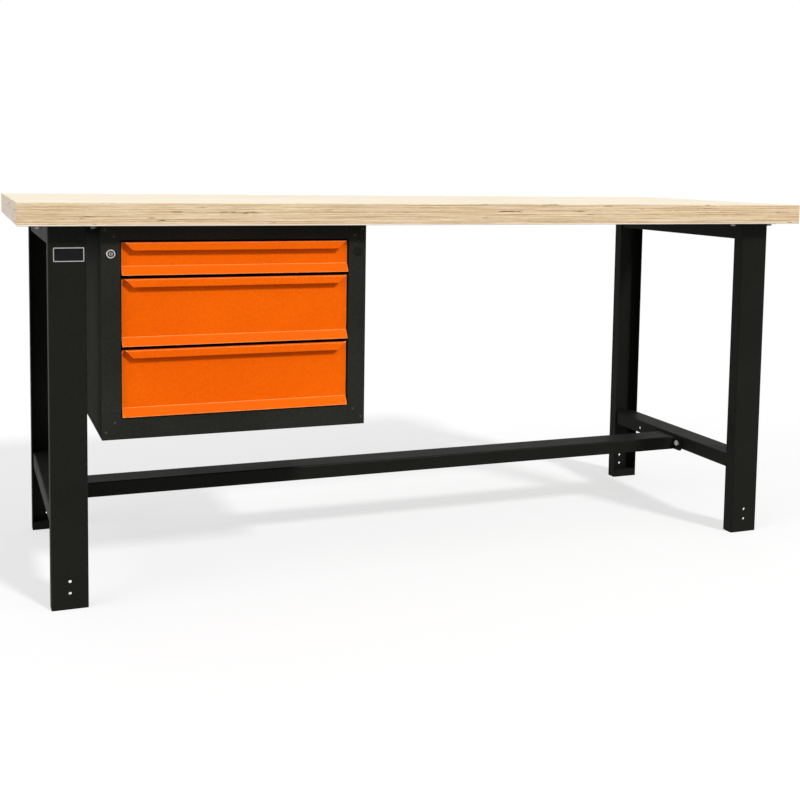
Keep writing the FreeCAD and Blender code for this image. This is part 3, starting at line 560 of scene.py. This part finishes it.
def make_plate():
    low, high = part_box("front_left_leg")
    middle = Vector((high.x - PLATE_FROM_INSIDE_EDGE, low.y, PLATE_HEIGHT))
    shape = bmesh.new()
    bmesh.ops.create_grid(shape, x_segments=1, y_segments=1, size=0.5)
    bmesh.ops.scale(shape, verts=shape.verts, vec=(PLATE_SIZE[0], PLATE_SIZE[1], 1))
    bmesh.ops.bevel(shape, geom=shape.verts[:], offset=PLATE_CORNER, offset_type="OFFSET", affect="VERTICES",
                    segments=PLATE_CORNER_STEPS, profile=0.5, material=-1)
    skirt = bmesh.ops.extrude_face_region(shape, geom=shape.faces[:])
    raised = [item for item in skirt["geom"] if isinstance(item, bmesh.types.BMVert)]
    bmesh.ops.translate(shape, verts=raised, vec=(0, 0, PLATE_THICKNESS))
    front = [item for item in skirt["geom"] if isinstance(item, bmesh.types.BMFace)]
    outline = list({edge for face in front for edge in face.edges})
    bmesh.ops.bevel(shape, geom=outline, offset=PLATE_EDGE, offset_type="OFFSET", affect="EDGES",
                    segments=PLATE_EDGE_STEPS, profile=0.5, material=-1)
    flats = [face for face in shape.faces if abs(face.normal.z) > 0.99]
    front = [max(flats, key=lambda face: face.calc_center_median().z)]
    bmesh.ops.inset_region(shape, faces=front, thickness=PLATE_RIM, depth=0)
    bmesh.ops.inset_region(shape, faces=front, thickness=PLATE_RIM_SLOPE, depth=-PLATE_RIM_DEPTH)
    front[0].material_index = 1
    face_forward(shape)
    bmesh.ops.translate(shape, verts=shape.verts, vec=middle)
    make_piece("bare_plate", shape, [rim_metal, field_lacquer])


make_plate()

# Rivets in the corners of the cabinet's front frame: from the frame's side, from its lower and its upper edge
RIVET_PROFILE = [(0.0, 1.15 * MM), (1.1 * MM, 1.05 * MM), (2.1 * MM, 0.75 * MM),
                 (2.8 * MM, 0.30 * MM), (3.0 * MM, 0.0)]
RIVET_STEPS = 20
RIVET_OUTER = (8.5 * MM, 17 * MM, 10 * MM)
RIVET_INNER = (28 * MM, 37 * MM, 25 * MM)


def make_rivets():
    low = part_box("cabinet_left_post")[0]
    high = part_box("cabinet_right_post")[1]
    rivet = turned(RIVET_PROFILE, RIVET_STEPS)
    face_forward(rivet)
    places = []
    for from_side, from_bottom, from_top in (RIVET_OUTER, RIVET_INNER):
        for x in (low.x + from_side, high.x - from_side):
            for z in (low.z + from_bottom, high.z - from_top):
                places.append((x, low.y, z))
    make_piece("frame_rivets", repeat_at(rivet, places), [rivet_coat])


make_rivets()

# Hex wood screws into the worktop, through the leg top plates and through the cabinet's top
HEX_FLATS = 13 * MM
HEX_HEIGHT = 5.3 * MM
HEX_CHAMFER = 0.7 * MM
HEX_CHAMFER_STEPS = 3
SCREW_OFFSET = 57.5 * MM
SCREW_LINE = 309.5 * MM
CABINET_SHEET = 1.5 * MM
CABINET_SCREW_INSET = (53 * MM, 57 * MM)


def hex_head():
    """A hex head that hangs down from the origin, its lower rim rounded over"""
    head = bmesh.new()
    radius = HEX_FLATS / math.sqrt(3)
    bmesh.ops.create_cone(head, cap_ends=True, cap_tris=False, segments=6, radius1=radius, radius2=radius,
                          depth=HEX_HEIGHT)
    bmesh.ops.translate(head, verts=head.verts, vec=(0, 0, -HEX_HEIGHT / 2))
    rim = [edge for edge in head.edges if all(vert.co.z < -HEX_HEIGHT / 2 for vert in edge.verts)]
    bmesh.ops.bevel(head, geom=rim, offset=HEX_CHAMFER, offset_type="OFFSET", affect="EDGES",
                    segments=HEX_CHAMFER_STEPS, profile=0.5, material=-1)
    return head


def make_worktop_screws():
    plate_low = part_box("leg_top_plates")[0]
    leg_low, leg_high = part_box("front_right_leg")
    leg_middle = (leg_low.x + leg_high.x) / 2
    places = []
    for side in (-1, 1):
        for end in (-1, 1):
            for row in (-1, 1):
                places.append((side * leg_middle + end * SCREW_OFFSET, row * SCREW_LINE, plate_low.z))
    # These screws take the darker zinc, painted shade under the worktop
    make_piece("worktop_screws", repeat_at(hex_head(), places), [zinc_in_painted_shade])


def make_cabinet_screws():
    low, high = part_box("cabinet_top")
    from_side, from_end = CABINET_SCREW_INSET
    places = [(x, y, high.z - CABINET_SHEET)
              for x in (low.x + from_side, high.x - from_side)
              for y in (low.y + from_end, high.y - from_end)]
    # These screws take the darker zinc, painted shade under the cabinet's top
    make_piece("cabinet_screws", repeat_at(hex_head(), places), [zinc_in_painted_shade])


make_worktop_screws()
make_cabinet_screws()

# Floor and fill light; a lamp has a name, a strength, a spread and the direction that its light comes from
FLOOR_SIZE = 160.0
FLOOR_SQUARES = 8
FLOOR_BOUNCE = (0.34, 0.34, 0.34, 1)
FLOOR_GLOW = 0.62
FILL_STRENGTH = 0.42
LAMPS = (
    ("key", 2.30, 0.14, (0.30, -0.70, 0.62)),
    ("side", 1.50, 0.90, (-0.90, -0.25, 0.35)),
)

# Camera
CAMERA_PLACE = (-1.13255, -2.97391, 0.98500)
CAMERA_TURN = (1.484479, -0.015326, -0.370563)
CAMERA_LENS = 53.478
CAMERA_SENSOR = 36.0
CAMERA_SHIFT = (-0.01323, -0.16212)
CAMERA_REACH = 300.0


def seen_directly(tree):
    """1 for rays from the camera, or by way of a mirror or clear surface, else 0"""
    path = tree.nodes.new("ShaderNodeLightPath")
    seen = path.outputs["Is Camera Ray"]
    for name in ("Is Glossy Ray", "Is Transmission Ray"):
        node = tree.nodes.new("ShaderNodeMath")
        node.operation = "MAXIMUM"
        tree.links.new(seen, node.inputs[0])
        tree.links.new(path.outputs[name], node.inputs[1])
        seen = node.outputs["Value"]
    return seen


def floor_paint():
    """White to the eye, with the shadow kept, and grey in what it throws back on the bench"""
    paint = bpy.data.materials.new("studio_floor")
    paint.use_nodes = True
    tree = paint.node_tree
    tree.nodes.remove(tree.nodes["Principled BSDF"])
    seen = seen_directly(tree)
    bounce = tree.nodes.new("ShaderNodeBsdfDiffuse")
    bounce.inputs["Color"].default_value = FLOOR_BOUNCE
    shown = tree.nodes.new("ShaderNodeBsdfDiffuse")
    shown.inputs["Color"].default_value = WHITE
    glow = tree.nodes.new("ShaderNodeEmission")
    glow.inputs["Strength"].default_value = 1.0
    white = tree.nodes.new("ShaderNodeMixShader")
    white.inputs["Fac"].default_value = FLOOR_GLOW
    tree.links.new(shown.outputs["BSDF"], white.inputs[1])
    tree.links.new(glow.outputs["Emission"], white.inputs[2])
    chosen = tree.nodes.new("ShaderNodeMixShader")
    tree.links.new(seen, chosen.inputs["Fac"])
    tree.links.new(bounce.outputs["BSDF"], chosen.inputs[1])
    tree.links.new(white.outputs["Shader"], chosen.inputs[2])
    tree.links.new(chosen.outputs["Shader"], tree.nodes["Material Output"].inputs["Surface"])
    return paint


def make_floor():
    work = bmesh.new()
    bmesh.ops.create_grid(work, x_segments=FLOOR_SQUARES, y_segments=FLOOR_SQUARES, size=FLOOR_SIZE / 2)
    mesh = bpy.data.meshes.new("floor")
    work.to_mesh(mesh)
    work.free()
    floor = bpy.data.objects.new("floor", mesh)
    bpy.context.scene.collection.objects.link(floor)
    mesh.materials.append(floor_paint())


def make_light():
    world = bpy.data.worlds.new("studio")
    bpy.context.scene.world = world
    world.use_nodes = True
    tree = world.node_tree
    seen = seen_directly(tree)
    fill = tree.nodes.new("ShaderNodeMapRange")
    fill.inputs["To Min"].default_value = FILL_STRENGTH
    fill.inputs["To Max"].default_value = 1.0
    tree.links.new(seen, fill.inputs["Value"])
    sky = tree.nodes["Background"]
    sky.inputs["Color"].default_value = WHITE
    tree.links.new(fill.outputs["Result"], sky.inputs["Strength"])
    for name, strength, spread, source in LAMPS:
        lamp = bpy.data.lights.new(name, "SUN")
        lamp.energy = strength
        lamp.angle = spread
        head = bpy.data.objects.new(name, lamp)
        head.rotation_euler = Vector(source).to_track_quat("Z", "Y").to_euler()
        bpy.context.scene.collection.objects.link(head)


def make_camera():
    lens = bpy.data.cameras.new("camera")
    lens.lens = CAMERA_LENS
    lens.sensor_width = CAMERA_SENSOR
    lens.shift_x, lens.shift_y = CAMERA_SHIFT
    lens.clip_end = CAMERA_REACH
    camera = bpy.data.objects.new("camera", lens)
    camera.location = CAMERA_PLACE
    camera.rotation_euler = Euler(CAMERA_TURN)
    bpy.context.scene.collection.objects.link(camera)
    bpy.context.scene.camera = camera


make_floor()
make_light()
make_camera()
bpy.context.scene.view_settings.view_transform = "Standard"
